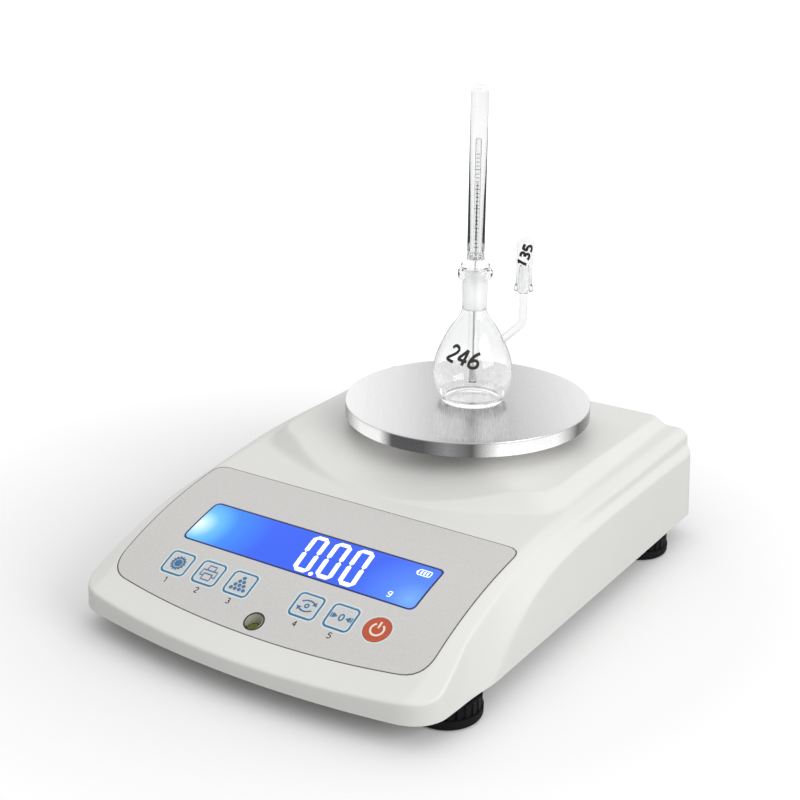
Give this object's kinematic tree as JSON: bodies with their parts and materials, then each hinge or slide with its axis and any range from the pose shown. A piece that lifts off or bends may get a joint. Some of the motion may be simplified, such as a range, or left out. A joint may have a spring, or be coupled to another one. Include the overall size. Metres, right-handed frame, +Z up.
{
  "type": "benchtop density meter",
  "caption": "Low top-loading density meter with a sloping key panel, blue display, round steel pan and a glass density bottle with thermometer.",
  "frame": {"origin": "on the table under the middle of the instrument's footprint", "axes": "+X to the user's right, +Y away from the user, +Z up"},
  "size_m": [0.206, 0.2788, 0.2442],
  "materials": {
    "housing": "fine spark-eroded texture, satin",
    "tray": "moulded, satin",
    "film": "speckled matt film",
    "window": "clear film",
    "lcd": "blue liquid crystal panel",
    "light": "lit light guide",
    "key": "printed film key",
    "power_key": "printed film key",
    "level_black": "moulded",
    "level_clear": "clear",
    "level_green": "tinted liquid",
    "board": "solder mask",
    "part_black": "moulded",
    "battery_case": "moulded",
    "zinc": "zinc plated",
    "frame_metal": "machined",
    "pan_steel": "brushed",
    "hub": "turned",
    "brass": "knurled",
    "foot_plastic": "moulded",
    "sole": "moulded",
    "clear_glass": "clear",
    "column": "dark thread",
    "wire": "sheath"
  },
  "bodies": {
    "root": {"backlight": "light", "base_frame": "frame_metal", "base_frame_screws": "zinc", "battery": "battery_case", "battery_cable": "wire", "battery_door": "tray", "battery_door_screws": "zinc", "board_screws": "zinc", "buzzer": "part_black", "cell_spacer": "frame_metal", "dc_jack": "part_black", "dc_jack_nut": "zinc", "display_board": "board", "display_cable": "wire", "display_window": "window", "foot_inserts": "brass", "housing_screws": "zinc", "key_board": "board", "key_switches": "part_black", "lcd_glass": "lcd", "level_bubble": "level_clear", "level_cup": "level_black", "level_liquid": "level_green", "level_vial": "level_clear", "load_cell": "frame_metal", "load_cell_cable": "wire", "load_cell_screws": "zinc", "lower_housing": "tray", "main_board": "board", "main_board_chips": "part_black", "overload_stop": "zinc", "panel_film": "film", "panel_screws": "zinc", "port_screws": "zinc", "serial_port": "zinc", "upper_housing": "housing"},
    "load_receiver": {"bracket_spacer": "frame_metal", "pan_bracket": "frame_metal", "bracket_screws": "zinc", "pan_post": "pan_steel"},
    "pan": {"weighing_pan": "pan_steel", "pan_hub": "hub"},
    "bottle": {"flask": "clear_glass"},
    "thermometer": {"thermometer_stopper": "clear_glass", "thermometer_column": "column"},
    "arm_cap": {"side_arm_cap": "clear_glass"},
    "key_set": {"key_set": "key"},
    "key_print": {"key_print": "key"},
    "key_enter": {"key_enter": "key"},
    "key_mode": {"key_mode": "key"},
    "key_zero": {"key_zero": "key"},
    "key_power": {"key_power": "power_key"},
    "sole_front_left": {"foot_sole_front_left": "sole"},
    "wheel_front_left": {"foot_wheel_front_left": "foot_plastic"},
    "sole_front_right": {"foot_sole_front_right": "sole"},
    "wheel_front_right": {"foot_wheel_front_right": "foot_plastic"},
    "sole_rear_left": {"foot_sole_rear_left": "sole"},
    "wheel_rear_left": {"foot_wheel_rear_left": "foot_plastic"},
    "sole_rear_right": {"foot_sole_rear_right": "sole"},
    "wheel_rear_right": {"foot_wheel_rear_right": "foot_plastic"}
  },
  "joints": [
    {"name": "load_travel", "type": "slide", "parent": "root", "child": "load_receiver", "axis": [0, 0, -1], "range_m": [0, 0.0004], "stiffness_N_per_m": 40000, "deforming": ["load_cell"]},
    {"name": "pan_lift", "type": "slide", "parent": "load_receiver", "child": "pan", "axis": [0, 0, 1], "range_m": [0, 0.03]},
    {"name": "bottle_lift", "type": "slide", "parent": "pan", "child": "bottle", "axis": [0, 0, 1], "range_m": [0, 0.1]},
    {"name": "thermometer_lift", "type": "slide", "parent": "bottle", "child": "thermometer", "axis": [0, 0, 1], "range_m": [0, 0.08]},
    {"name": "cap_lift", "type": "slide", "parent": "bottle", "child": "arm_cap", "axis": [0, 0, 1], "range_m": [0, 0.03]},
    {"name": "key_set_press", "type": "slide", "parent": "root", "child": "key_set", "axis": [0, 0.431, -0.9024], "range_m": [0, 0.00035], "stiffness_N_per_m": 800},
    {"name": "key_print_press", "type": "slide", "parent": "root", "child": "key_print", "axis": [0, 0.431, -0.9024], "range_m": [0, 0.00035], "stiffness_N_per_m": 800},
    {"name": "key_enter_press", "type": "slide", "parent": "root", "child": "key_enter", "axis": [0, 0.431, -0.9024], "range_m": [0, 0.00035], "stiffness_N_per_m": 800},
    {"name": "key_mode_press", "type": "slide", "parent": "root", "child": "key_mode", "axis": [0, 0.431, -0.9024], "range_m": [0, 0.00035], "stiffness_N_per_m": 800},
    {"name": "key_zero_press", "type": "slide", "parent": "root", "child": "key_zero", "axis": [0, 0.431, -0.9024], "range_m": [0, 0.00035], "stiffness_N_per_m": 800},
    {"name": "key_power_press", "type": "slide", "parent": "root", "child": "key_power", "axis": [0, 0.431, -0.9024], "range_m": [0, 0.00035], "stiffness_N_per_m": 800},
    {"name": "foot_travel_front_left", "type": "slide", "parent": "root", "child": "sole_front_left", "axis": [0, 0, -1], "range_m": [0, 0.0076]},
    {"name": "foot_turn_front_left", "type": "hinge", "parent": "sole_front_left", "child": "wheel_front_left", "pos_m": [-0.087, -0.09535, 0.008], "axis": [0, 0, -1], "range_deg": [0, 2160]},
    {"name": "foot_travel_front_right", "type": "slide", "parent": "root", "child": "sole_front_right", "axis": [0, 0, -1], "range_m": [0, 0.0076]},
    {"name": "foot_turn_front_right", "type": "hinge", "parent": "sole_front_right", "child": "wheel_front_right", "pos_m": [0.087, -0.09535, 0.008], "axis": [0, 0, -1], "range_deg": [0, 2160]},
    {"name": "foot_travel_rear_left", "type": "slide", "parent": "root", "child": "sole_rear_left", "axis": [0, 0, -1], "range_m": [0, 0.0076]},
    {"name": "foot_turn_rear_left", "type": "hinge", "parent": "sole_rear_left", "child": "wheel_rear_left", "pos_m": [-0.087, 0.09965, 0.008], "axis": [0, 0, -1], "range_deg": [0, 2160]},
    {"name": "foot_travel_rear_right", "type": "slide", "parent": "root", "child": "sole_rear_right", "axis": [0, 0, -1], "range_m": [0, 0.0076]},
    {"name": "foot_turn_rear_right", "type": "hinge", "parent": "sole_rear_right", "child": "wheel_rear_right", "pos_m": [0.087, 0.09965, 0.008], "axis": [0, 0, -1], "range_deg": [0, 2160]}
  ],
  "couplings": [
    {"joint": "foot_travel_front_left", "follows": "foot_turn_front_left", "m_per_rad": 0.00019894},
    {"joint": "foot_travel_front_right", "follows": "foot_turn_front_right", "m_per_rad": 0.00019894},
    {"joint": "foot_travel_rear_left", "follows": "foot_turn_rear_left", "m_per_rad": 0.00019894},
    {"joint": "foot_travel_rear_right", "follows": "foot_turn_rear_right", "m_per_rad": 0.00019894}
  ]
}
